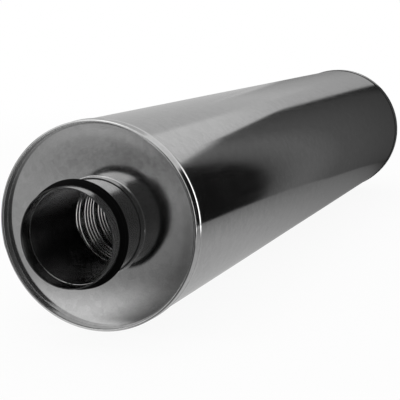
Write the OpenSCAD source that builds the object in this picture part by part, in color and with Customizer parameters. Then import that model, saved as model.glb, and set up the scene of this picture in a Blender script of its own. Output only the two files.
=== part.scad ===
// Round duct sound attenuator: a straight silencer for round ventilation duct.
// A sheet casing is closed by two pressed end caps with rolled rims. Each cap carries a
// spigot with a lip gasket. A ribbed liner joins the spigots inside, wrapped in fleece
// and packed round with mineral wool.
// The axis lies along Y, the inlet faces -Y and the origin is the middle of the axis.

/* [Casing] */
// Outer diameter of the casing sheet
casing_d = 205.6; // [180:0.2:300]
// Length from the front rim to the rear rim
casing_l = 1000; // [600:10:1500]
// Thickness of the casing sheet
casing_t = 0.7; // [0.5:0.1:1.2]
// Width of the lengthwise lock seam
seam_w = 8; // [5:0.5:14]
// Height of the lock seam above the casing
seam_h = 1.2; // [0.8:0.1:2]
// Place of the lock seam round the axis, from +X towards +Z, in degrees
seam_angle = 194; // [0:1:359]

/* [End caps] */
// Thickness of the end cap sheet
cap_t = 0.5; // [0.4:0.1:1.2]
// Width of the rolled rim, across both of its walls
rim_w = 3; // [2.6:0.1:8]
// Depth of the flat end plate behind the rim
plate_recess = 9; // [6:0.5:20]
// Bend radius at both edges of the plate, at the middle of the sheet
plate_bend = 1.2; // [0.8:0.1:2]
// Height of the drawn collar that grips the spigot, in front of the plate
collar_l = 9; // [5:0.2:12]
// Length of the skirt over the casing, from the front of the rim
skirt_l = 17; // [14:0.5:30]
// Height of the crimp bead round the skirt
crimp_h = 0.4; // [0.2:0.1:1]
// Width of the crimp bead round the skirt
crimp_w = 5; // [3:0.1:6]
// Distance from the middle of the crimp bead to the end of the skirt
crimp_inset = 3.8; // [3.4:0.2:6]

/* [Spigots] */
// Clear bore of the spigots
bore_d = 93; // [76:1:110]
// Thickness of the spigot sheet
spigot_t = 0.8; // [0.5:0.1:1.2]
// How far a spigot stands out in front of the rim
spigot_reach = 61; // [40:1:100]
// Length of the hemmed nose in front of the gasket
nose_l = 12; // [6:0.5:15]
// How far the sleeve of a spigot reaches in behind the rim
sleeve_l = 52; // [40:1:80]
// Height of the rolled bead under the gasket
bead_h = 0.8; // [0.4:0.1:1.2]
// Width of the rolled bead under the gasket
bead_w = 3; // [2:0.1:5]

/* [Gaskets] */
// Diameter over the free sealing lips
gasket_d = 104.4; // [103:0.2:112]
// Length of a gasket along the axis
gasket_l = 10.6; // [8:0.2:16]
// Thickness of the band that sits on the spigot
band_t = 1.2; // [0.9:0.1:2]
// How much lower the front lip stands than the rear lip
lip_step = 0.8; // [0:0.1:1.5]
// Length of the flat land on the tip of a lip
lip_land = 1; // [0.6:0.1:1.5]
// Undercut behind each lip
lip_undercut = 1.2; // [0.5:0.1:2]

/* [Liner and packing] */
// Thickness of the liner sheet
liner_t = 0.5; // [0.3:0.1:1]
// Width of the strip that the liner is wound from
strip_w = 32; // [24:1:60]
// Ribs across one strip
strip_ribs = 4; // [2:1:6]
// Width of the flat lock band between two groups of ribs
lock_w = 6.4; // [4:0.2:10]
// Height of a rib
rib_h = 1; // [0.5:0.1:1.5]
// Thickness of the fleece round the liner
fleece_t = 1.2; // [0.5:0.1:3]

/* [Clearances] */
// Sliding clearance between pieces that fit over one another
slip = 0.15; // [0.1:0.05:0.3]
// Clearance round the packing
packing_gap = 0.3; // [0.2:0.1:1]

/* [Hidden] */
$fn = 128;
bend_steps = 10;
bead_steps = 8;
// How far a cut runs past the face it opens
cut_over = 1;

// Radii of the casing and of the end caps
casing_r = casing_d / 2;
casing_bore_r = casing_r - casing_t;
skirt_bore_r = casing_r + slip;
skirt_r = skirt_bore_r + cap_t;
skirt_mid_r = skirt_r - cap_t / 2;
wall_mid_r = skirt_r - rim_w + cap_t / 2;
roll_mid_r = (skirt_mid_r - wall_mid_r) / 2;

// Heights along an end, measured outwards from the front of its rim
roll_z = -rim_w / 2;
plate_z = -plate_recess;
plate_back_z = plate_z - cap_t;
plate_mid_z = plate_z - cap_t / 2;
collar_top_z = plate_z + collar_l;
casing_edge_z = roll_z - slip;
seam_edge_z = casing_edge_z - slip;
crimp_z = crimp_inset - skirt_l;

// Arc of the lock seam, and of the pocket that the skirt makes over it
seam_arc = seam_w / casing_r * 180 / PI;
pocket_arc = (seam_w + 2 * slip) / casing_r * 180 / PI;
bulge_arc = (seam_w + 2 * slip + 2 * cap_t) / casing_r * 180 / PI;
pocket_r = casing_r + seam_h + slip;
bulge_r = pocket_r + cap_t;
bulge_top_z = casing_edge_z + cap_t;

// Radii and places of a spigot and its gasket
bore_r = bore_d / 2;
spigot_r = bore_r + spigot_t;
nose_r = bore_r + 2 * spigot_t;
collar_mid_r = spigot_r + slip + cap_t / 2;
gasket_front_z = spigot_reach - nose_l - slip;
gasket_rear_z = gasket_front_z - gasket_l;
gasket_mid_z = gasket_front_z - gasket_l / 2;
gasket_bore_r = spigot_r + slip / 2;
band_r = gasket_bore_r + bead_h + band_t;
rear_lip_r = gasket_d / 2;
front_lip_r = rear_lip_r - lip_step;

// Liner, fleece and packing
liner_bore_r = spigot_r + slip;
liner_mid_r = liner_bore_r + liner_t / 2;
packing_half_l = casing_l / 2 + plate_back_z - packing_gap;
ribbed_half_l = casing_l / 2 - sleeve_l;
strip_count = max(1, round(2 * ribbed_half_l / strip_w));
strip_pitch = 2 * ribbed_half_l / strip_count;
rib_pitch = (strip_pitch - lock_w) / strip_ribs;
fleece_bore_r = liner_bore_r + liner_t + rib_h + slip;
fleece_r = fleece_bore_r + fleece_t;
wool_bore_r = fleece_r + packing_gap;
wool_r = casing_bore_r - packing_gap;

// Unit vector along a line, and the normal on its left
function along(a, b) = (b - a) / norm(b - a);
function left_normal(a, b) = [-along(a, b)[1], along(a, b)[0]];

// A vector turned by an angle
function turned(v, angle) = [
    v[0] * cos(angle) - v[1] * sin(angle),
    v[0] * sin(angle) + v[1] * cos(angle)
];

// Arc of radius r that rounds the corner b of the path a, b, c
function bend(a, b, c, r) =
    let (
        back = along(b, a),
        ahead = along(b, c),
        corner = acos(back * ahead),
        centre = b + along([0, 0], back + ahead) * r / sin(corner / 2),
        start = b + back * r / tan(corner / 2) - centre,
        side = sign(cross(b - a, c - b)),
        sweep = side * (180 - corner)
    )
    [for (i = [0 : bend_steps]) centre + turned(start, sweep * i / bend_steps)];

// A path moved sideways by d, with straight runs kept exactly d apart
function shifted(path, d) =
    let (last = len(path) - 1)
    [
        for (i = [0 : last])
            let (
                before = left_normal(path[max(i - 1, 0)], path[max(i, 1)]),
                after = left_normal(path[min(i, last - 1)], path[min(i + 1, last)])
            )
            path[i] + d * (before + after) / (1 + before * after)
    ];

function reversed(list) = [for (i = [len(list) - 1 : -1 : 0]) list[i]];

// Closed section of a sheet of thickness t along a path
function sheet(path, t) = concat(shifted(path, t / 2), reversed(shifted(path, -t / 2)));

// Rounded bead of height h and width w on a wall of radius r, from high z to low z
function bead(r, z, h, w) = [
    for (i = [0 : bead_steps])
        let (share = i / bead_steps)
        [r + h * (1 - cos(360 * share)) / 2, z + w / 2 - w * share]
];

// Places a piece of an end, drawn with its axis along +Z from the front of the rim
module at_inlet() {
    translate([0, -casing_l / 2, 0]) rotate([90, 0, 0]) children();
}

module at_outlet() {
    mirror([0, 1, 0]) at_inlet() children();
}

// Part of a ring, centred on the lock seam
module seam_sector(inner_r, outer_r, low_z, high_z, arc) {
    rotate([0, 0, seam_angle - arc / 2])
        rotate_extrude(angle = arc)
            translate([inner_r, low_z])
                square([outer_r - inner_r, high_z - low_z]);
}

// Plain tube along Z, centred on the origin
module tube(inner_r, outer_r, half_l) {
    rotate_extrude()
        translate([inner_r, -half_l])
            square([outer_r - inner_r, 2 * half_l]);
}

// Casing sheet, rolled round and closed by the lock seam
module outer_casing() {
    edge = casing_l / 2 + casing_edge_z;
    seam_end = casing_l / 2 + seam_edge_z;
    color("gainsboro")
        rotate([90, 0, 0]) {
            tube(casing_bore_r, casing_r, edge);
            seam_sector(casing_r - casing_t / 2, casing_r + seam_h, -seam_end, seam_end, seam_arc);
        }
}

// Pressed cap: drawn collar, flat plate, recess wall, rolled rim and crimped skirt, in one sheet
module end_cap() {
    collar_edge = [collar_mid_r, collar_top_z];
    collar_corner = [collar_mid_r, plate_mid_z];
    plate_corner = [wall_mid_r, plate_mid_z];
    inner_corner = [wall_mid_r, -cap_t / 2];
    roll_top = [(wall_mid_r + skirt_mid_r) / 2, -cap_t / 2];
    outer_corner = [skirt_mid_r, -cap_t / 2];
    skirt_end = [skirt_mid_r, -skirt_l];
    inner_roll = bend(plate_corner, inner_corner, roll_top, roll_mid_r);
    outer_roll = bend(roll_top, outer_corner, skirt_end, roll_mid_r);
    path = concat(
        [collar_edge],
        bend(collar_edge, collar_corner, plate_corner, plate_bend),
        bend(collar_corner, plate_corner, inner_corner, plate_bend),
        inner_roll,
        [for (i = [1 : bend_steps]) outer_roll[i]],
        bead(skirt_mid_r, crimp_z, crimp_h, crimp_w),
        [skirt_end]
    );
    difference() {
        union() {
            rotate_extrude() polygon(sheet(path, cap_t));
            seam_sector(skirt_bore_r, bulge_r, -skirt_l - slip, bulge_top_z, bulge_arc);
        }
        seam_sector(casing_bore_r, pocket_r, -skirt_l - cut_over, casing_edge_z, pocket_arc);
    }
}

module inlet_end_cap() {
    color("silver") at_inlet() end_cap();
}

module outlet_end_cap() {
    color("silver") at_outlet() end_cap();
}

// Spigot: hemmed nose, gasket bead, plain tube through the collar, and inner sleeve
module spigot() {
    nose_edge = [
        for (i = [1 : 2 * bend_steps - 1])
            let (a = 180 - 180 * i / (2 * bend_steps))
            [bore_r + spigot_t, spigot_reach - spigot_t] + spigot_t * [cos(a), sin(a)]
    ];
    outside = concat(
        [[nose_r, spigot_reach - spigot_t], [nose_r, spigot_reach - nose_l]],
        [[spigot_r, spigot_reach - nose_l]],
        bead(spigot_r, gasket_mid_z, bead_h, bead_w),
        [[spigot_r, -sleeve_l]]
    );
    inside = concat(
        [[bore_r, spigot_reach - spigot_t]],
        bead(bore_r, gasket_mid_z, bead_h, bead_w),
        [[bore_r, -sleeve_l]]
    );
    rotate_extrude() polygon(concat(nose_edge, outside, reversed(inside)));
}

module inlet_spigot() {
    color("lightgray") at_inlet() spigot();
}

module outlet_spigot() {
    color("lightgray") at_outlet() spigot();
}

// Rubber ring with two lips that lean back from the mouth, keyed on the gasket bead
module gasket() {
    seat = bead(gasket_bore_r, gasket_mid_z, bead_h, bead_w);
    rear_root_z = gasket_rear_z + lip_undercut;
    section = concat(
        [
            [gasket_bore_r, gasket_front_z],
            [nose_r, gasket_front_z],
            [front_lip_r, gasket_mid_z + lip_land],
            [front_lip_r, gasket_mid_z],
            [band_r, gasket_mid_z + lip_undercut],
            [rear_lip_r, gasket_rear_z + lip_land],
            [rear_lip_r, gasket_rear_z],
            [band_r, rear_root_z],
            [gasket_bore_r, rear_root_z]
        ],
        reversed(seat)
    );
    rotate_extrude() polygon(section);
}

module inlet_gasket() {
    color("#202020") at_inlet() gasket();
}

module outlet_gasket() {
    color("#202020") at_outlet() gasket();
}

// Liner: plain cuffs over the sleeves, and groups of ribs between flat lock bands
module ribbed_liner() {
    strip_ribs_line = [
        for (strip = [0 : strip_count - 1])
            let (start = -ribbed_half_l + strip * strip_pitch + lock_w / 2)
            each concat(
                [[liner_mid_r, start]],
                [
                    for (rib = [0 : strip_ribs - 1])
                        each [
                            [liner_mid_r + rib_h, start + (rib + 0.5) * rib_pitch],
                            [liner_mid_r, start + (rib + 1) * rib_pitch]
                        ]
                ]
            )
    ];
    line = concat(
        [[liner_mid_r, -packing_half_l]],
        strip_ribs_line,
        [[liner_mid_r, packing_half_l]]
    );
    color("darkgray")
        rotate([90, 0, 0]) rotate_extrude() polygon(sheet(line, liner_t));
}

// Fleece that keeps the fibres of the packing out of the air stream
module fleece_wrap() {
    color("dimgray") rotate([90, 0, 0]) tube(fleece_bore_r, fleece_r, packing_half_l);
}

// Mineral wool packed between the fleece and the casing
module mineral_wool() {
    color("khaki") rotate([90, 0, 0]) tube(wool_bore_r, wool_r, packing_half_l);
}

outer_casing();
inlet_end_cap();
outlet_end_cap();
inlet_spigot();
outlet_spigot();
inlet_gasket();
outlet_gasket();
ribbed_liner();
fleece_wrap();
mineral_wool();
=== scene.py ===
"""Looks of the round duct sound attenuator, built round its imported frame, in metres."""
import math

import bmesh
import bpy
from mathutils import Matrix, Vector


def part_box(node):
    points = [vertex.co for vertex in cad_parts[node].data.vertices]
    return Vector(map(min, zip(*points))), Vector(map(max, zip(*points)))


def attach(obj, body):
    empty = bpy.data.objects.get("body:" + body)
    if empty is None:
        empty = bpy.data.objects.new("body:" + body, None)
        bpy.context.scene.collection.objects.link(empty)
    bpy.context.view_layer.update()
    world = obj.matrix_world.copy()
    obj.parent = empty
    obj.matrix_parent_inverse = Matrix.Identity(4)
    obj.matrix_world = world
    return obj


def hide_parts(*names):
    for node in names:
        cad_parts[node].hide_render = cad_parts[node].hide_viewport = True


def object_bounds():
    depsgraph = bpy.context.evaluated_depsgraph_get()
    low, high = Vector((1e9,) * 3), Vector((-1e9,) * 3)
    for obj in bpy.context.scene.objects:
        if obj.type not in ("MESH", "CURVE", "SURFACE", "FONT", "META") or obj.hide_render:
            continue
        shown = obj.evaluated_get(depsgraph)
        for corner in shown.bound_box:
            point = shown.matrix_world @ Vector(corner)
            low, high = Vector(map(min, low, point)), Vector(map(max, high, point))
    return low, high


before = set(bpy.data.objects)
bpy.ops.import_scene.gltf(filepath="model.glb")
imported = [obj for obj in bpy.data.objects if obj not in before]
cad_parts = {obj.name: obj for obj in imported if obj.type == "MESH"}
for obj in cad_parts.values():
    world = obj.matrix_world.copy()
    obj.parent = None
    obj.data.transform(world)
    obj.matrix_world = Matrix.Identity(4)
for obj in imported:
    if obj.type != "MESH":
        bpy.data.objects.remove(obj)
cad_low, cad_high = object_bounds()

MM = 0.001

# Sizes read from the frame
casing_half_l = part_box("outer_casing")[1].y
casing_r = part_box("outer_casing")[1].x
rim_front = -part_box("inlet_end_cap")[0].y
mouth_y = -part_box("inlet_spigot")[0].y
sleeve_y = -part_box("inlet_spigot")[1].y
nose_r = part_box("inlet_spigot")[1].x
gasket_front_y = -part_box("inlet_gasket")[0].y
gasket_rear_y = -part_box("inlet_gasket")[1].y
lip_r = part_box("inlet_gasket")[1].x
liner_half_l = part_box("ribbed_liner")[1].y
liner_crest_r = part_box("ribbed_liner")[1].x
floor_z = cad_low.z

# Sheet sizes, the same as in the solids
CASING_T = 0.7 * MM
CAP_T = 0.5 * MM
SPIGOT_T = 0.8 * MM
LINER_T = 0.5 * MM
SLIP = 0.15 * MM

# Casing and its seam, with angles in degrees
CASING_ROWS = 90
CASING_FINE = 3.6
SEAM_ANGLE = 194
SEAM_FLANK = 0.35
SEAM_W = 8 * MM
SEAM_H = 1.2 * MM

# Waves of the rolled casing: share of the height, radians per metre along, waves round, start
CASING_WAVES = [(1, 9, 2, 0.6), (0.7, 17, -3, 2.1), (0.5, 4, 5, 0)]
CASING_WAVE_H = 0.05 * MM
CASING_WAVE_END = (0.40, 0.49)

# End caps, with a tighter bend at the wall than in the solids
RIM_W = 3 * MM
PLATE_RECESS = 9 * MM
PLATE_EDGE = 1 * MM
WALL_BEND = 0.5 * MM
COLLAR_BEND = 1.2 * MM
COLLAR_L = 9 * MM
SKIRT_L = 17 * MM
CRIMP_H = 0.4 * MM
CRIMP_W = 5 * MM
CRIMP_INSET = 3.8 * MM
COLLAR_STEPS = 12
PLATE_STEPS = 30
WALL_STEPS = 8
ROLL_STEPS = 28

# The skirt's pocket over the casing's seam, with angles in degrees
POCKET_FINE = 4.5
POCKET_FLANK = 0.7
POCKET_FADE = 1.2 * MM

# Dishing of the cap's plate: share of the height, waves round, start
PLATE_WAVES = [(0.5, 2, 0.7), (0.35, 3, 2.4)]
PLATE_WAVE_MEAN = 0.6
PLATE_WAVE_H = 0.1 * MM
PLATE_WAVE_START = (50 * MM, 62 * MM)
PLATE_WAVE_END = (86 * MM, 97 * MM)

# Spigots, with angles in degrees
NOSE_L = 12 * MM
NOSE_TAPER = 0.6 * MM
BEAD_H = 0.8 * MM
BEAD_W = 3 * MM
HOLLOW_DROP = 0.15 * MM
HOLLOW_SHARE = 0.45
TOUCH = 0.01 * MM
SPIGOT_SEAM_ANGLE = 262
SPIGOT_SEAM_FINE = 4
SPIGOT_SEAM_STEP = 0.25
SPIGOT_SEAM_W = 4 * MM
NOTCH_HALF_W = 0.9 * MM
NOTCH_DEPTH = 0.7 * MM
FOLD_L = 1.4 * MM
FOLD_STEPS = 14

# Spigot measures that several pieces share; heights run outwards from the rim's front
tube_r = nose_r - SPIGOT_T
bore_r = tube_r - SPIGOT_T
mouth_height = mouth_y - rim_front
bead_height = (gasket_front_y + gasket_rear_y) / 2 - rim_front

# Gaskets
LIP_STEP = 0.8 * MM
LIP_LAND = 1 * MM
LIP_UNDERCUT = 1.2 * MM
LIP_ROUND = 0.4 * MM
BAND_T = 1.2 * MM
CORNER_SHARE = 0.45

# Liner
STRIP_W = 32 * MM
STRIP_RIBS = 4
LOCK_W = 6.4 * MM
RIB_H = 1 * MM
RIB_W = 3.4 * MM
RIB_FADE = 1 * MM
RIB_STEPS_INSIDE = 7
RIB_STEPS_OUTSIDE = 2
LINER_SIDES = 60

# Sides of the round meshes
SHEET_SIDES = 240
GASKET_SIDES = 180

# Numbers of a piece's second and third material: dull cut edges, with painted shade on a spigot's
# folded mouth, and a spigot's bore, dark with painted shade
CUT_AND_FOLD_SHADE = 1
BORE = 2


# Sections are lists of (radius, height) points
def arc(centre, radius, start, stop, steps):
    """Points of an arc, with angles in degrees."""
    points = []
    for i in range(steps + 1):
        angle = math.radians(start + (stop - start) * i / steps)
        points.append((centre[0] + radius * math.cos(angle), centre[1] + radius * math.sin(angle)))
    return points


def bead(radius, middle, height, width, steps=16):
    """Rounded bead on a wall, from high to low."""
    points = []
    for i in range(steps + 1):
        share = i / steps
        bump = height * (1 - math.cos(2 * math.pi * share)) / 2
        points.append((radius + bump, middle + width / 2 - width * share))
    return points


def spread(a, b, steps):
    """Points from a to b, without b."""
    points = []
    for i in range(steps):
        points.append((a[0] + (b[0] - a[0]) * i / steps, a[1] + (b[1] - a[1]) * i / steps))
    return points


def shifted(path, distance):
    """A path moved sideways by a distance."""
    normals = []
    for a, b in zip(path, path[1:]):
        along = (Vector(b) - Vector(a)).normalized()
        normals.append(Vector((-along.y, along.x)))
    moved = []
    for i, point in enumerate(path):
        before = normals[max(i - 1, 0)]
        after = normals[min(i, len(normals) - 1)]
        moved.append(tuple(Vector(point) + distance * (before + after) / (1 + before.dot(after))))
    return moved


def sheet(path, thickness):
    """Closed section of a sheet along a path."""
    return shifted(path, thickness / 2) + shifted(path, -thickness / 2)[::-1]


def smooth_step(low, high, value):
    """Share from 0 at low to 1 at high, with an even start and stop."""
    share = min(max((value - low) / (high - low), 0), 1)
    return share * share * (3 - 2 * share)


def angle_from(angle, centre):
    """Signed difference of two angles in degrees."""
    return (angle - centre + 180) % 360 - 180


def ring_angles(count, centre=None, half_width=0, fine=0.3):
    """Angles round a ring in degrees, with a finer stretch about one of them."""
    step = 360 / count
    if centre is None:
        return [i * step for i in range(count)]
    fine_count = round(2 * half_width / fine)
    near = [centre - half_width + 2 * half_width * i / fine_count for i in range(fine_count + 1)]
    rest = 360 - 2 * half_width
    far_count = round(rest / step)
    far = [centre + half_width + rest * i / far_count for i in range(1, far_count)]
    return near + far


def finish_mesh(name, bm, body="root", sharp=40):
    """Turns a bmesh into a smooth shaded piece that rides on its body."""
    bmesh.ops.recalc_face_normals(bm, faces=bm.faces)
    mesh = bpy.data.meshes.new(name)
    bm.to_mesh(mesh)
    bm.free()
    mesh.shade_smooth()
    mesh.set_sharp_from_angle(angle=math.radians(sharp))
    piece = bpy.data.objects.new(name, mesh)
    bpy.context.scene.collection.objects.link(piece)
    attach(piece, body)
    return piece


def lathe(name, section, angles, place, sharp=40, marks=None):
    """Closed ring from a section. place(radius, height, angle) gives (radius, y).

    marks gives stretches of the section another material of the piece, by its number."""
    bm = bmesh.new()
    rings = []
    for angle in angles:
        turn = math.radians(angle)
        ring = []
        for radius, height in section:
            r, y = place(radius, height, angle)
            ring.append(bm.verts.new((r * math.cos(turn), y, r * math.sin(turn))))
        rings.append(ring)
    count = len(section)
    for ring, following in zip(rings, rings[1:] + rings[:1]):
        for i in range(count):
            j = (i + 1) % count
            face = bm.faces.new((ring[i], ring[j], following[j], following[i]))
            face.material_index = (marks or {}).get(i, 0)
    return finish_mesh(name, bm, sharp=sharp)


# Casing
def seam_rise(angle):
    """Share of the seam's height at an angle."""
    half = math.degrees(SEAM_W / 2 / casing_r)
    return 1 - smooth_step(half - SEAM_FLANK, half, abs(angle_from(angle, SEAM_ANGLE)))


def casing_wave(y, angle):
    """Small unevenness of the rolled sheet, none at the ends."""
    turn = math.radians(angle)
    ends = 1 - smooth_step(*CASING_WAVE_END, abs(y))
    wave = 0
    for share, along, around, start in CASING_WAVES:
        wave += share * math.sin(along * y + around * turn + start)
    return CASING_WAVE_H * wave * ends


def make_casing():
    inner_r = casing_r - CASING_T
    section = []
    for i in range(CASING_ROWS + 1):
        section.append((casing_r, -casing_half_l + 2 * casing_half_l * i / CASING_ROWS))
    section += [(inner_r, casing_half_l), (inner_r, -casing_half_l)]

    def place(radius, height, angle):
        if radius < casing_r - CASING_T / 2:
            return radius, height
        return radius + SEAM_H * seam_rise(angle) + casing_wave(height, angle), height

    angles = ring_angles(SHEET_SIDES, SEAM_ANGLE, CASING_FINE)
    piece = lathe("casing_shell", section, angles, place, sharp=50)
    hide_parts("outer_casing")
    return piece


# End caps
def cap_section():
    """One sheet: collar, recessed plate, recess wall, rolled rim and crimped skirt."""
    skirt_mid = casing_r + SLIP + CAP_T / 2
    wall_mid = skirt_mid + CAP_T / 2 - RIM_W + CAP_T / 2
    roll_r = (skirt_mid - wall_mid) / 2
    roll_height = -RIM_W / 2
    plate_height = -PLATE_RECESS - CAP_T / 2
    collar_mid = tube_r + SLIP + CAP_T / 2
    collar_bend = (collar_mid + COLLAR_BEND, plate_height + COLLAR_BEND)
    wall_bend = (wall_mid - WALL_BEND, plate_height + WALL_BEND)
    plate_start = (collar_bend[0] + PLATE_EDGE, plate_height)
    path = [(collar_mid, COLLAR_L - PLATE_RECESS)]
    path += arc(collar_bend, COLLAR_BEND, 180, 270, COLLAR_STEPS)
    path += spread(plate_start, (wall_bend[0], plate_height), PLATE_STEPS)
    path += arc(wall_bend, WALL_BEND, -90, 0, WALL_STEPS)
    path += arc(((wall_mid + skirt_mid) / 2, roll_height), roll_r, 180, 0, ROLL_STEPS)
    path += bead(skirt_mid, CRIMP_INSET - SKIRT_L, CRIMP_H, CRIMP_W)
    path.append((skirt_mid, -SKIRT_L))
    return sheet(path, CAP_T)


def plate_wave(radius, angle):
    """Slight dishing of the pressed plate, none at the spigot and at the recess wall."""
    inner = smooth_step(*PLATE_WAVE_START, radius)
    outer = 1 - smooth_step(*PLATE_WAVE_END, radius)
    turn = math.radians(angle)
    wave = PLATE_WAVE_MEAN
    for share, around, start in PLATE_WAVES:
        wave += share * math.sin(around * turn + start)
    return PLATE_WAVE_H * wave * inner * outer


def make_cap(name, node, side):
    pocket_half = math.degrees((SEAM_W / 2 + SLIP + CAP_T) / casing_r)
    pocket_top = -RIM_W / 2 - SLIP + CAP_T

    def place(radius, height, angle):
        away = abs(angle_from(angle, SEAM_ANGLE))
        lift = 1 - smooth_step(pocket_half - POCKET_FLANK, pocket_half, away)
        lift *= 1 - smooth_step(pocket_top - POCKET_FADE, pocket_top, height)
        if radius > casing_r - CASING_T:
            radius += SEAM_H * lift
        elif height < -PLATE_RECESS + CAP_T:
            height += plate_wave(radius, angle)
        return radius, side * (rim_front + height)

    section = cap_section()
    marks = {len(section) // 2 - 1: CUT_AND_FOLD_SHADE, len(section) - 1: CUT_AND_FOLD_SHADE}
    angles = ring_angles(SHEET_SIDES, SEAM_ANGLE, POCKET_FINE)
    piece = lathe(name, section, angles, place, marks=marks)
    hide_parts(node)
    return piece


# Spigots
def spigot_section():
    """Section of the tube with folded nose and bead, and the materials of its fold and bore:
    painted shade on both, in place of their metal reflections.
    """
    sleeve_height = sleeve_y - rim_front
    fold_r = SPIGOT_T - NOSE_TAPER / 2
    outside = arc((bore_r + fold_r, mouth_height - fold_r), fold_r, 180, 0, FOLD_STEPS)
    outside.append((bore_r + 2 * fold_r, mouth_height - FOLD_L))
    outside += [(nose_r, mouth_height - NOSE_L), (tube_r, mouth_height - NOSE_L)]
    outside += bead(tube_r, bead_height, BEAD_H, BEAD_W)
    outside.append((tube_r, sleeve_height))
    hollow = bead(bore_r, bead_height, BEAD_H, BEAD_W)
    inside = [(bore_r, mouth_height - FOLD_L)] + hollow[:len(hollow) // 2 + 1]
    inside += [(bore_r, bead_height - HOLLOW_DROP), (bore_r, sleeve_height)]
    # The fold gets the dull dark edge colour: painted shade that hides its metal reflection.
    marks = {i: CUT_AND_FOLD_SHADE for i in range(FOLD_STEPS)}
    count = len(outside) + len(inside)
    # The bore's long walls get the near black zinc: painted shade inside the tube.
    marks.update({len(outside): BORE, count - 2: BORE, count - 1: BORE})
    return outside + inside[::-1], marks


def make_spigot(name, node, side):
    half_gap = math.degrees(NOTCH_HALF_W / nose_r)
    seam_edge = math.degrees(SPIGOT_SEAM_W / 2 / bore_r)

    def place(radius, height, angle):
        away = abs(angle_from(angle, SPIGOT_SEAM_ANGLE))
        notch = 1 - smooth_step(half_gap * 0.5, half_gap, away)
        in_hollow = abs(height - bead_height) < HOLLOW_SHARE * BEAD_W and radius < tube_r + TOUCH
        if height > mouth_height - SPIGOT_T:
            height -= NOTCH_DEPTH * notch
        elif in_hollow and abs(away - seam_edge) < half_gap:
            radius = bore_r
        return radius, side * (rim_front + height)

    angles = ring_angles(SHEET_SIDES, SPIGOT_SEAM_ANGLE, SPIGOT_SEAM_FINE, SPIGOT_SEAM_STEP)
    section, marks = spigot_section()
    piece = lathe(name, section, angles, place, sharp=45, marks=marks)
    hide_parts(node)
    return piece


# Gaskets
def rounded(corners, radius, steps=5):
    """Closed section with every corner rounded."""
    points = []
    count = len(corners)
    for i, corner in enumerate(corners):
        here = Vector(corner)
        back = Vector(corners[i - 1]) - here
        ahead = Vector(corners[(i + 1) % count]) - here
        trim = min(radius, back.length * CORNER_SHARE, ahead.length * CORNER_SHARE)
        start = here + back.normalized() * trim
        stop = here + ahead.normalized() * trim
        for k in range(steps + 1):
            t = k / steps
            point = start * (1 - t) ** 2 + here * 2 * t * (1 - t) + stop * t ** 2
            points.append(tuple(point))
    return points


def make_gasket(name, node, side):
    seat_r = tube_r + SLIP / 2
    band_r = seat_r + BEAD_H + BAND_T
    front = gasket_front_y - rim_front
    rear = gasket_rear_y - rim_front
    middle = (front + rear) / 2
    front_lip_r = lip_r - LIP_STEP
    root = rear + LIP_UNDERCUT
    corners = [
        (seat_r, front),
        (nose_r, front),
        (front_lip_r, middle + LIP_LAND),
        (front_lip_r, middle),
        (band_r, middle + LIP_UNDERCUT),
        (lip_r, rear + LIP_LAND),
        (lip_r, rear),
        (band_r, root),
        (seat_r, root),
        (seat_r, middle - BEAD_W / 2),
        (seat_r + BEAD_H, middle),
        (seat_r, middle + BEAD_W / 2),
    ]

    def place(radius, height, angle):
        return radius, side * (rim_front + height)

    section = rounded(corners, LIP_ROUND)
    piece = lathe(name, section, ring_angles(GASKET_SIDES), place, sharp=80)
    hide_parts(node)
    return piece


# Liner
def strip_rows(rib_steps):
    """Places and heights across the wound strip: its edge, then its half round ribs."""
    pitch = (STRIP_W - LOCK_W) / STRIP_RIBS
    rows = [(0, 0)]
    for rib in range(STRIP_RIBS):
        middle = LOCK_W / 2 + pitch * (rib + 0.5)
        for i in range(rib_steps + 1):
            turn = math.pi * i / rib_steps
            rows.append((middle - RIB_W / 2 * math.cos(turn), RIB_H * math.sin(turn)))
    return rows


def ring_point(bm, radius, y, i):
    """Vertex at one of the liner's sides."""
    turn = 2 * math.pi * i / LINER_SIDES
    return bm.verts.new((radius * math.cos(turn), y, radius * math.sin(turn)))


def ring_of(bm, radius, y):
    return [ring_point(bm, radius, y, i) for i in range(LINER_SIDES)]


def bridge(bm, rings):
    """Faces between rings that follow one another."""
    for ring, following in zip(rings, rings[1:]):
        for i in range(LINER_SIDES):
            j = (i + 1) % LINER_SIDES
            bm.faces.new((ring[i], ring[j], following[j], following[i]))


def wound_wall(bm, radius, rows):
    """Wall of a wound, ribbed strip between the two sleeves. Gives back its end rings."""
    half = sleeve_y
    low = ring_of(bm, radius, -half)
    high = ring_of(bm, radius, half)
    made = {}

    def corner(row, i):
        if i == LINER_SIDES:
            row, i = row - len(rows), 0
        strip, k = divmod(row, len(rows))
        along, rise = rows[k]
        y = (strip - i / LINER_SIDES) * STRIP_W + along - half
        if y <= -half:
            return low[i]
        if y >= half:
            return high[i]
        if (row, i) not in made:
            crest = radius + rise * smooth_step(0, RIB_FADE, half - abs(y))
            made[row, i] = ring_point(bm, crest, y, i)
        return made[row, i]

    strips = math.ceil(2 * half / STRIP_W) + 1
    for row in range(strips * len(rows)):
        for i in range(LINER_SIDES):
            corners = [corner(row, i), corner(row, i + 1)]
            corners += [corner(row + 1, i + 1), corner(row + 1, i)]
            corners = list(dict.fromkeys(corners))
            if len(corners) > 2:
                bm.faces.new(corners)
    return low, high


def make_liner():
    inner_r = liner_crest_r - RIB_H - LINER_T
    outer_r = inner_r + LINER_T
    bm = bmesh.new()
    inner = wound_wall(bm, inner_r, strip_rows(RIB_STEPS_INSIDE))
    outer = wound_wall(bm, outer_r, strip_rows(RIB_STEPS_OUTSIDE))
    for side, within, around in zip((-1, 1), inner, outer):
        end_y = side * liner_half_l
        bridge(bm, [within, ring_of(bm, inner_r, end_y), ring_of(bm, outer_r, end_y), around])
    piece = finish_mesh("spiral_liner", bm, sharp=60)
    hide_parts("ribbed_liner")
    return piece


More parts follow.
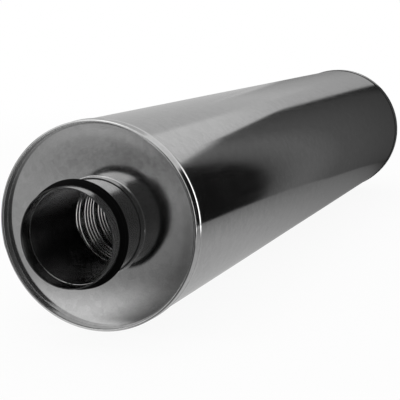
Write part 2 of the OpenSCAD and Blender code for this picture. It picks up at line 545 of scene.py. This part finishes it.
# Materials
def new_material(name):
    material = bpy.data.materials.new(name)
    material.use_nodes = True
    tree = material.node_tree
    tree.nodes.clear()
    return material, tree


def add(tree, kind, inputs=None, **settings):
    """Adds a node. inputs maps a socket's name or number to a value or to another node's output."""
    node = tree.nodes.new(kind)
    for key, value in settings.items():
        setattr(node, key, value)
    for key, value in (inputs or {}).items():
        socket = node.inputs[key]
        if isinstance(value, bpy.types.NodeSocket):
            tree.links.new(value, socket)
        else:
            socket.default_value = value
    return node


def object_place(tree):
    return add(tree, "ShaderNodeTexCoord").outputs["Object"]


def noise(tree, where, scale, detail, output="Fac"):
    inputs = {"Vector": where, "Scale": scale, "Detail": detail}
    return add(tree, "ShaderNodeTexNoise", inputs).outputs[output]


def maths(tree, operation, *values):
    return add(tree, "ShaderNodeMath", dict(enumerate(values)), operation=operation).outputs[0]


def mapped(tree, value, source=(0.0, 1.0), target=(0.0, 1.0), curve="LINEAR"):
    """A value carried from one range to another."""
    inputs = {"Value": value, 1: source[0], 2: source[1], 3: target[0], 4: target[1]}
    return add(tree, "ShaderNodeMapRange", inputs, interpolation_type=curve).outputs[0]


def bumped(tree, height, strength, distance):
    inputs = {"Strength": strength, "Distance": distance, "Height": height}
    return add(tree, "ShaderNodeBump", inputs).outputs[0]


def colour_ramp(tree, fac, stops):
    """Colour ramp through (place, colour) stops."""
    node = add(tree, "ShaderNodeValToRGB", {"Fac": fac})
    elements = node.color_ramp.elements
    elements[0].position = stops[0][0]
    elements[1].position = stops[-1][0]
    for place, colour in stops[1:-1]:
        elements.new(place)
    for element, (place, colour) in zip(elements, stops):
        element.color = (*colour, 1)
    return node.outputs["Color"]


def grey_ramp(tree, fac, stops):
    """Grey ramp through (place, value) stops."""
    return colour_ramp(tree, fac, [(place, (value, value, value)) for place, value in stops])


def surface(tree, inputs):
    """Ends a material with one principled surface."""
    shader = add(tree, "ShaderNodeBsdfPrincipled", inputs).outputs[0]
    add(tree, "ShaderNodeOutputMaterial", {"Surface": shader})


# Spangle of the zinc: cells per metre, their share in the tone, the tones they run between
SPANGLE_SCALE = 160.0
SPANGLE_SHARE = 0.35
SPANGLE_DARK = 0.86
SPANGLE_LIGHT = 1.1

# Shares of a zinc's roughness at its smoothest and at its dullest
ROUGH_LOW = 0.8
ROUGH_HIGH = 1.25


def galvanised(name, base, roughness, stretch, lined=0.6):
    """Bright zinc coated sheet: fine spangle, rolling lines and a faint grain."""
    material, tree = new_material(name)
    where = object_place(tree)
    lines_at = add(tree, "ShaderNodeMapping", {"Vector": where, "Scale": stretch}).outputs["Vector"]
    lines = noise(tree, lines_at, scale=1.0, detail=4.0)
    grain = noise(tree, where, scale=900.0, detail=3.0)
    spangle = add(tree, "ShaderNodeTexVoronoi", {"Vector": where, "Scale": SPANGLE_SCALE})
    cloud = noise(tree, where, scale=14.0, detail=3.0)
    cell_grey = add(tree, "ShaderNodeRGBToBW", {"Color": spangle.outputs["Color"]}).outputs["Val"]
    tone = maths(tree, "MULTIPLY_ADD", cell_grey, SPANGLE_SHARE, grain)
    colour = grey_ramp(tree, tone, [(0.3, base * SPANGLE_DARK), (0.95, base * SPANGLE_LIGHT)])
    uneven = maths(tree, "MULTIPLY", lines, cloud)
    rough = mapped(tree, uneven, (0.1, 0.45), (roughness * ROUGH_LOW, roughness * ROUGH_HIGH))
    height = maths(tree, "MULTIPLY_ADD", lines, lined, grain)
    bump = bumped(tree, height, strength=0.035, distance=0.0004)
    surface(tree, {"Base Color": colour, "Metallic": 1.0, "Roughness": rough, "Normal": bump})
    return material


def rubber():
    """Matt black rubber with a faint bloom."""
    material, tree = new_material("black_rubber")
    where = object_place(tree)
    grain = noise(tree, where, scale=700.0, detail=4.0)
    bloom = noise(tree, where, scale=60.0, detail=2.0)
    colour = grey_ramp(tree, bloom, [(0.3, 0.001), (0.8, 0.002)])
    rough = mapped(tree, grain, target=(0.6, 0.8))
    bump = bumped(tree, grain, strength=0.12, distance=0.0003)
    gloss = {"Roughness": rough, "Specular IOR Level": 0.03}
    surface(tree, {"Base Color": colour, "Normal": bump, **gloss})
    return material


def fibres(name, dark, light, scale):
    """Matted fibres between a dark and a light colour."""
    material, tree = new_material(name)
    where = object_place(tree)
    bend = noise(tree, where, scale=scale * 0.3, detail=4.0, output="Color")
    spots = add(tree, "ShaderNodeMixRGB", {"Fac": 0.04, 1: where, 2: bend}).outputs[0]
    strands = noise(tree, spots, scale=scale, detail=8.0)
    colour = colour_ramp(tree, strands, [(0.3, dark), (0.75, light)])
    bump = bumped(tree, strands, strength=0.6, distance=0.002)
    surface(tree, {"Base Color": colour, "Roughness": 0.95, "Normal": bump})
    return material


def cut_steel_and_fold_shade():
    """Dull dark grey of cut sheet edges, and painted shade on the spigots' folded mouths in place
    of their metal reflection.
    """
    material, tree = new_material("cut_edge_and_fold_shade")
    marks = noise(tree, object_place(tree), scale=300.0, detail=4.0)
    colour = grey_ramp(tree, marks, [(0.3, 0.02), (0.7, 0.05)])
    rough = mapped(tree, marks, target=(0.4, 0.6))
    surface(tree, {"Base Color": colour, "Roughness": rough, "Specular IOR Level": 0.1})
    return material


def dress(piece, *materials):
    """Gives a piece its materials. Clearing resets the faces' numbers, so a new mesh is left."""
    if piece.data.materials:
        piece.data.materials.clear()
    for material in materials:
        piece.data.materials.append(material)


casing_metal = galvanised("casing_zinc", base=0.5, roughness=0.11, stretch=(260, 14, 260))
cap_metal = galvanised("cap_zinc", base=0.52, roughness=0.12, stretch=(300, 300, 300), lined=0.05)
spigot_metal = galvanised("spigot_zinc", base=0.55, roughness=0.13, stretch=(40, 500, 40))
liner_metal = galvanised("liner_aluminium", base=0.6, roughness=0.12, stretch=(60, 500, 60))
gasket_rubber = rubber()
cut_edge_and_fold_shade = cut_steel_and_fold_shade()
# The spigots' bore is zinc darkened almost to black: painted shade inside the tube.
bore_shade_metal = galvanised("bore_zinc_painted_shade", base=0.03, roughness=0.18, stretch=(40, 500, 40))

dress(make_casing(), casing_metal)
dress(make_cap("inlet_cap_shell", "inlet_end_cap", -1), cap_metal, cut_edge_and_fold_shade)
dress(make_cap("outlet_cap_shell", "outlet_end_cap", 1), cap_metal, cut_edge_and_fold_shade)
dress(make_spigot("inlet_spigot_tube", "inlet_spigot", -1), spigot_metal, cut_edge_and_fold_shade, bore_shade_metal)
dress(make_spigot("outlet_spigot_tube", "outlet_spigot", 1), spigot_metal, cut_edge_and_fold_shade, bore_shade_metal)
dress(make_gasket("inlet_lip_gasket", "inlet_gasket", -1), gasket_rubber)
dress(make_gasket("outlet_lip_gasket", "outlet_gasket", 1), gasket_rubber)
dress(make_liner(), liner_metal)
fleece = fibres("fleece_fibres", dark=(0.01, 0.01, 0.01), light=(0.06, 0.06, 0.06), scale=900.0)
dress(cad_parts["fleece_wrap"], fleece)
wool = fibres("wool_fibres", dark=(0.3, 0.25, 0.1), light=(0.7, 0.62, 0.36), scale=350.0)
dress(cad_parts["mineral_wool"], wool)


# Stage: a light room and a pale floor, whose glow range is in shares of its half width
FILL_LEVEL = 0.8
FLOOR_HALF_W = 8
FLOOR_GREY = 0.9
FLOOR_GLOW_NEAR = 0.92
FLOOR_GLOW_RANGE = (0.1, 0.3)


def glossy_or_camera(tree):
    """One for rays that show a background, nought for those that only light."""
    path = add(tree, "ShaderNodeLightPath")
    shown = path.outputs["Is Camera Ray"]
    for ray in ("Is Glossy Ray", "Is Transmission Ray"):
        shown = maths(tree, "MAXIMUM", shown, path.outputs[ray])
    return shown


def make_world():
    world = bpy.data.worlds.new("studio")
    world.use_nodes = True
    tree = world.node_tree
    tree.nodes.clear()
    level = mapped(tree, glossy_or_camera(tree), target=(FILL_LEVEL, 1.0))
    light = add(tree, "ShaderNodeBackground", {"Color": (1, 1, 1, 1), "Strength": level}).outputs[0]
    add(tree, "ShaderNodeOutputWorld", {"Surface": light})
    bpy.context.scene.world = world


def plane(name, centre, across, up):
    """Rectangle whose local X and Y run from -1 to 1 along two half sides."""
    mesh = bpy.data.meshes.new(name)
    mesh.from_pydata([(-1, -1, 0), (1, -1, 0), (1, 1, 0), (-1, 1, 0)], [], [(0, 1, 2, 3)])
    piece = bpy.data.objects.new(name, mesh)
    bpy.context.scene.collection.objects.link(piece)
    across = Vector(across)
    up = Vector(up)
    out = across.cross(up).normalized()
    turn = Matrix((across, up, out)).transposed().to_4x4()
    piece.matrix_world = Matrix.Translation(Vector(centre)) @ turn
    return piece


def make_floor():
    """Floor that is white to look at, a little less so under the part."""
    floor = plane("floor", (0, 0, floor_z), (FLOOR_HALF_W, 0, 0), (0, FLOOR_HALF_W, 0))
    material, tree = new_material("pale_floor")
    shown = glossy_or_camera(tree)
    white = add(tree, "ShaderNodeEmission", {"Color": (1, 1, 1, 1), "Strength": 1.0}).outputs[0]
    grey = (FLOOR_GREY, FLOOR_GREY, FLOOR_GREY, 1)
    matt = add(tree, "ShaderNodeBsdfDiffuse", {"Color": grey}).outputs[0]
    where = object_place(tree)
    away = add(tree, "ShaderNodeVectorMath", {0: where}, operation="LENGTH").outputs["Value"]
    glow = mapped(tree, away, FLOOR_GLOW_RANGE, (FLOOR_GLOW_NEAR, 1.0), "SMOOTHSTEP")
    share = maths(tree, "MULTIPLY", shown, glow)
    both = add(tree, "ShaderNodeMixShader", {0: share, 1: matt, 2: white}).outputs[0]
    add(tree, "ShaderNodeOutputMaterial", {"Surface": both})
    dress(floor, material)


# Cards that only the bright metal mirrors: painted reflections of dark boards, of shade on the
# floor and walls, and of lights
CARD_LIFT = 1 * MM
UPPER_LIFT = 2 * MM
BOARD_LOW = floor_z - 0.06
BOARD_TOP = 0.355


def card(name, centre, across, up, stops, soft, stops_axis="X", strength=1.0):
    """Card that only reflections show: a painted reflection, with a grey run along it and soft
    edges.
    """
    piece = plane(name, centre, across, up)
    for ray in ("camera", "diffuse", "transmission", "shadow", "volume_scatter"):
        setattr(piece, "visible_" + ray, False)
    material, tree = new_material(name)
    parts = add(tree, "ShaderNodeSeparateXYZ", {"Vector": object_place(tree)}).outputs
    grey = grey_ramp(tree, mapped(tree, parts[stops_axis], source=(-1.0, 1.0)), stops)
    covers = []
    for axis, width in zip("XY", soft):
        away = maths(tree, "ABSOLUTE", parts[axis])
        covers.append(mapped(tree, away, source=(1.0, 1.0 - width), curve="SMOOTHSTEP"))
    cover = maths(tree, "MULTIPLY", *covers)
    light = add(tree, "ShaderNodeEmission", {"Color": grey, "Strength": strength}).outputs[0]
    clear = add(tree, "ShaderNodeBsdfTransparent").outputs[0]
    both = add(tree, "ShaderNodeMixShader", {0: cover, 1: clear, 2: light}).outputs[0]
    add(tree, "ShaderNodeOutputMaterial", {"Surface": both})
    dress(piece, material)


def standing_card(name, start, stop, low, high, stops, soft):
    """Upright card over a line on the floor."""
    a = Vector((*start, 0))
    b = Vector((*stop, 0))
    centre = (a + b) / 2 + Vector((0, 0, (low + high) / 2))
    card(name, centre, (b - a) / 2, (0, 0, (high - low) / 2), stops, soft)


def lying_card(name, low, high, stops, soft, lift=CARD_LIFT, stops_axis="X"):
    """Flat card just over the floor."""
    centre = ((low[0] + high[0]) / 2, (low[1] + high[1]) / 2, floor_z + lift)
    across = ((high[0] - low[0]) / 2, 0, 0)
    up = (0, (high[1] - low[1]) / 2, 0)
    card(name, centre, across, up, stops, soft, stops_axis)


def even(grey):
    """Stops of a card of one grey."""
    return [(0.0, grey), (1.0, grey)]


make_world()
make_floor()
standing_card(
    "board_rear",
    start=(0.067, 0.752),
    stop=(0.175, 0.3575),
    low=BOARD_LOW,
    high=BOARD_TOP,
    stops=[(0.0, 0.02), (0.14, 0.02), (0.3, 0.055), (0.45, 0.065), (0.65, 0.08), (0.9, 0.1)],
    soft=(0.12, 0.12),
)
standing_card(
    "board_front",
    start=(0.163, 0.402),
    stop=(0.6, 0.1),
    low=BOARD_LOW,
    high=BOARD_TOP,
    stops=[
        (0.0, 0.09), (0.06, 0.12), (0.14, 0.16), (0.2, 0.155),
        (0.27, 0.115), (0.29, 0.1), (0.31, 0.008), (1.0, 0.005),
    ],
    soft=(0.005, 0.12),
)
# Painted shade of the floor beside the casing, lighter at the front, which the casing's underside
# mirrors.
lying_card(
    "right_floor_painted_shade",
    low=(-0.02, -0.65),
    high=(0.45, 0.85),
    stops=[
        (0.0, 0.62), (0.32, 0.43), (0.4, 0.36), (0.5, 0.28), (0.6, 0.22),
        (0.7, 0.18), (0.8, 0.12), (0.86, 0.06), (0.9, 0.02),
    ],
    soft=(0.34, 0.06),
    stops_axis="Y",
)
# Painted shade of the floor in front of the part, darkest to the right, which the cap's plate
# mirrors.
card(
    "front_floor_painted_shade",
    centre=(-0.735, -1.894, floor_z + CARD_LIFT),
    across=(1.658, -0.374, 0),
    up=(-0.328, -1.453, 0),
    stops=[
        (0.0, 0.5), (0.5735, 0.46), (0.588, 0.42), (0.609, 0.335), (0.6235, 0.25),
        (0.631, 0.16), (0.647, 0.1), (0.691, 0.08), (1.0, 0.06),
    ],
    soft=(0.02, 0.12),
)
# Painted shade of the floor just in front of the part.
lying_card(
    "front_near_painted_shade",
    low=(-0.04, -0.8),
    high=(0.4, -0.5),
    stops=even(0.1),
    soft=(0.36, 0.2),
    lift=UPPER_LIFT,
)
card(
    "front_shade",
    centre=(-0.47, -1.75, floor_z + UPPER_LIFT),
    across=(0.3, -0.175, 0),
    up=(-0.25, -0.43, 0),
    stops=even(0.1),
    soft=(0.9, 0.9),
)
card(
    "bore_glow",
    centre=(0.034, -0.46, 0.0),
    across=(0, 0.03, 0),
    up=(0, 0, 0.028),
    stops=even(1.0),
    soft=(0.2, 0.3),
    strength=1.8,
)
card(
    "bore_glow_high",
    centre=(0.026, -0.46, 0.03),
    across=(0, 0.03, 0),
    up=(-0.0136, 0, 0.0118),
    stops=even(1.0),
    soft=(0.2, 0.3),
)
# Painted shade of the floor at the front right.
lying_card(
    "right_front_painted_shade",
    low=(0.42, -1.35),
    high=(1.9, -0.3),
    stops=even(0.08),
    soft=(0.1, 0.1),
    lift=UPPER_LIFT,
)
# Painted shade of the floor at the left.
lying_card(
    "left_floor_painted_shade",
    low=(-2.6, -0.9),
    high=(-0.28, 1.2),
    stops=even(0.05),
    soft=(0.06, 0.06),
)
standing_card(
    "left_dark",
    start=(-1.2, -0.9),
    stop=(-1.2, 1.0),
    low=floor_z,
    high=0.7,
    stops=even(0.05),
    soft=(0.05, 0.1),
)
standing_card(
    "front_right_dark",
    start=(-0.1, -2.2),
    stop=(1.9, -1.3),
    low=-1.0,
    high=1.7,
    stops=[(0.0, 0.07), (1.0, 0.04)],
    soft=(0.1, 0.2),
)
# Grey cards behind the part: painted shade of the backdrop, which darkens the casing's reflection
# towards the rear.
standing_card(
    "back_left",
    start=(-3.4, 2.6),
    stop=(-0.75, 2.6),
    low=floor_z,
    high=2.2,
    stops=[(0.0, 0.6), (1.0, 0.55)],
    soft=(0.08, 0.1),
)
standing_card(
    "back_high",
    start=(-1.0, 2.56),
    stop=(-0.2, 2.56),
    low=0.6,
    high=2.4,
    stops=even(0.55),
    soft=(0.3, 0.2),
)
# Painted shade of the backdrop, darker low down.
card(
    "back_wall_painted_shade",
    centre=(0.1, 2.58, 0.748),
    across=(1.0, 0, 0),
    up=(0, 0, 0.852),
    stops=[(0.0, 0.28), (0.22, 0.28), (0.36, 0.4), (0.55, 0.5), (0.74, 0.72), (1.0, 0.8)],
    soft=(0.2, 0.04),
    stops_axis="Y",
)
standing_card(
    "right_front_dark",
    start=(0.75, -1.45),
    stop=(1.7, -0.45),
    low=floor_z - 0.3,
    high=1.8,
    stops=even(0.1),
    soft=(0.1, 0.1),
)
card(
    "side_light",
    centre=(0.88, 0.29, 0.35),
    across=(0.085, -0.085, 0),
    up=(0, 0, 0.5),
    stops=even(1.0),
    soft=(0.2, 0.1),
    strength=3.5,
)
# Bright patch over the floor at the right, three times white: painted light for highlights on the
# metal.
card(
    "side_floor_painted_light",
    centre=(0.66, -0.04, floor_z + UPPER_LIFT),
    across=(0.18, 0, 0),
    up=(0, 0.22, 0),
    stops=even(1.0),
    soft=(0.2, 0.2),
    strength=3.0,
)


def area_lamp(name, place, aim, size, power):
    data = bpy.data.lights.new(name, "AREA")
    data.shape = "SQUARE"
    data.size = size
    data.energy = power
    lamp = bpy.data.objects.new(name, data)
    bpy.context.scene.collection.objects.link(lamp)
    lamp.location = place
    lamp.rotation_mode = "QUATERNION"
    lamp.rotation_quaternion = (Vector(aim) - Vector(place)).to_track_quat("-Z", "Y")


area_lamp("overhead", place=(-0.5, -0.6, 1.7), aim=(0, -0.2, 0), size=1.1, power=5)


# Camera, with angles in degrees, and lens and sensor in millimetres
CAMERA_AZIMUTH = 20.3279
CAMERA_ELEVATION = 9.3911
CAMERA_PLACE = (466.724 * MM, -1470.539 * MM, 203.745 * MM)
LENS = 102.3322
SENSOR_W = 36
CLIP_START = 0.05


def make_camera():
    data = bpy.data.cameras.new("camera")
    data.sensor_fit = "AUTO"
    data.sensor_width = SENSOR_W
    data.lens = LENS
    data.clip_start = CLIP_START
    camera = bpy.data.objects.new("camera", data)
    bpy.context.scene.collection.objects.link(camera)
    turn = math.radians(CAMERA_AZIMUTH)
    rise = math.radians(CAMERA_ELEVATION)
    level = math.cos(rise)
    back = Vector((math.sin(turn) * level, -math.cos(turn) * level, math.sin(rise)))
    camera.location = CAMERA_PLACE
    camera.rotation_mode = "QUATERNION"
    camera.rotation_quaternion = (-back).to_track_quat("-Z", "Y")
    bpy.context.scene.camera = camera


make_camera()
bpy.context.scene.view_settings.view_transform = "Standard"
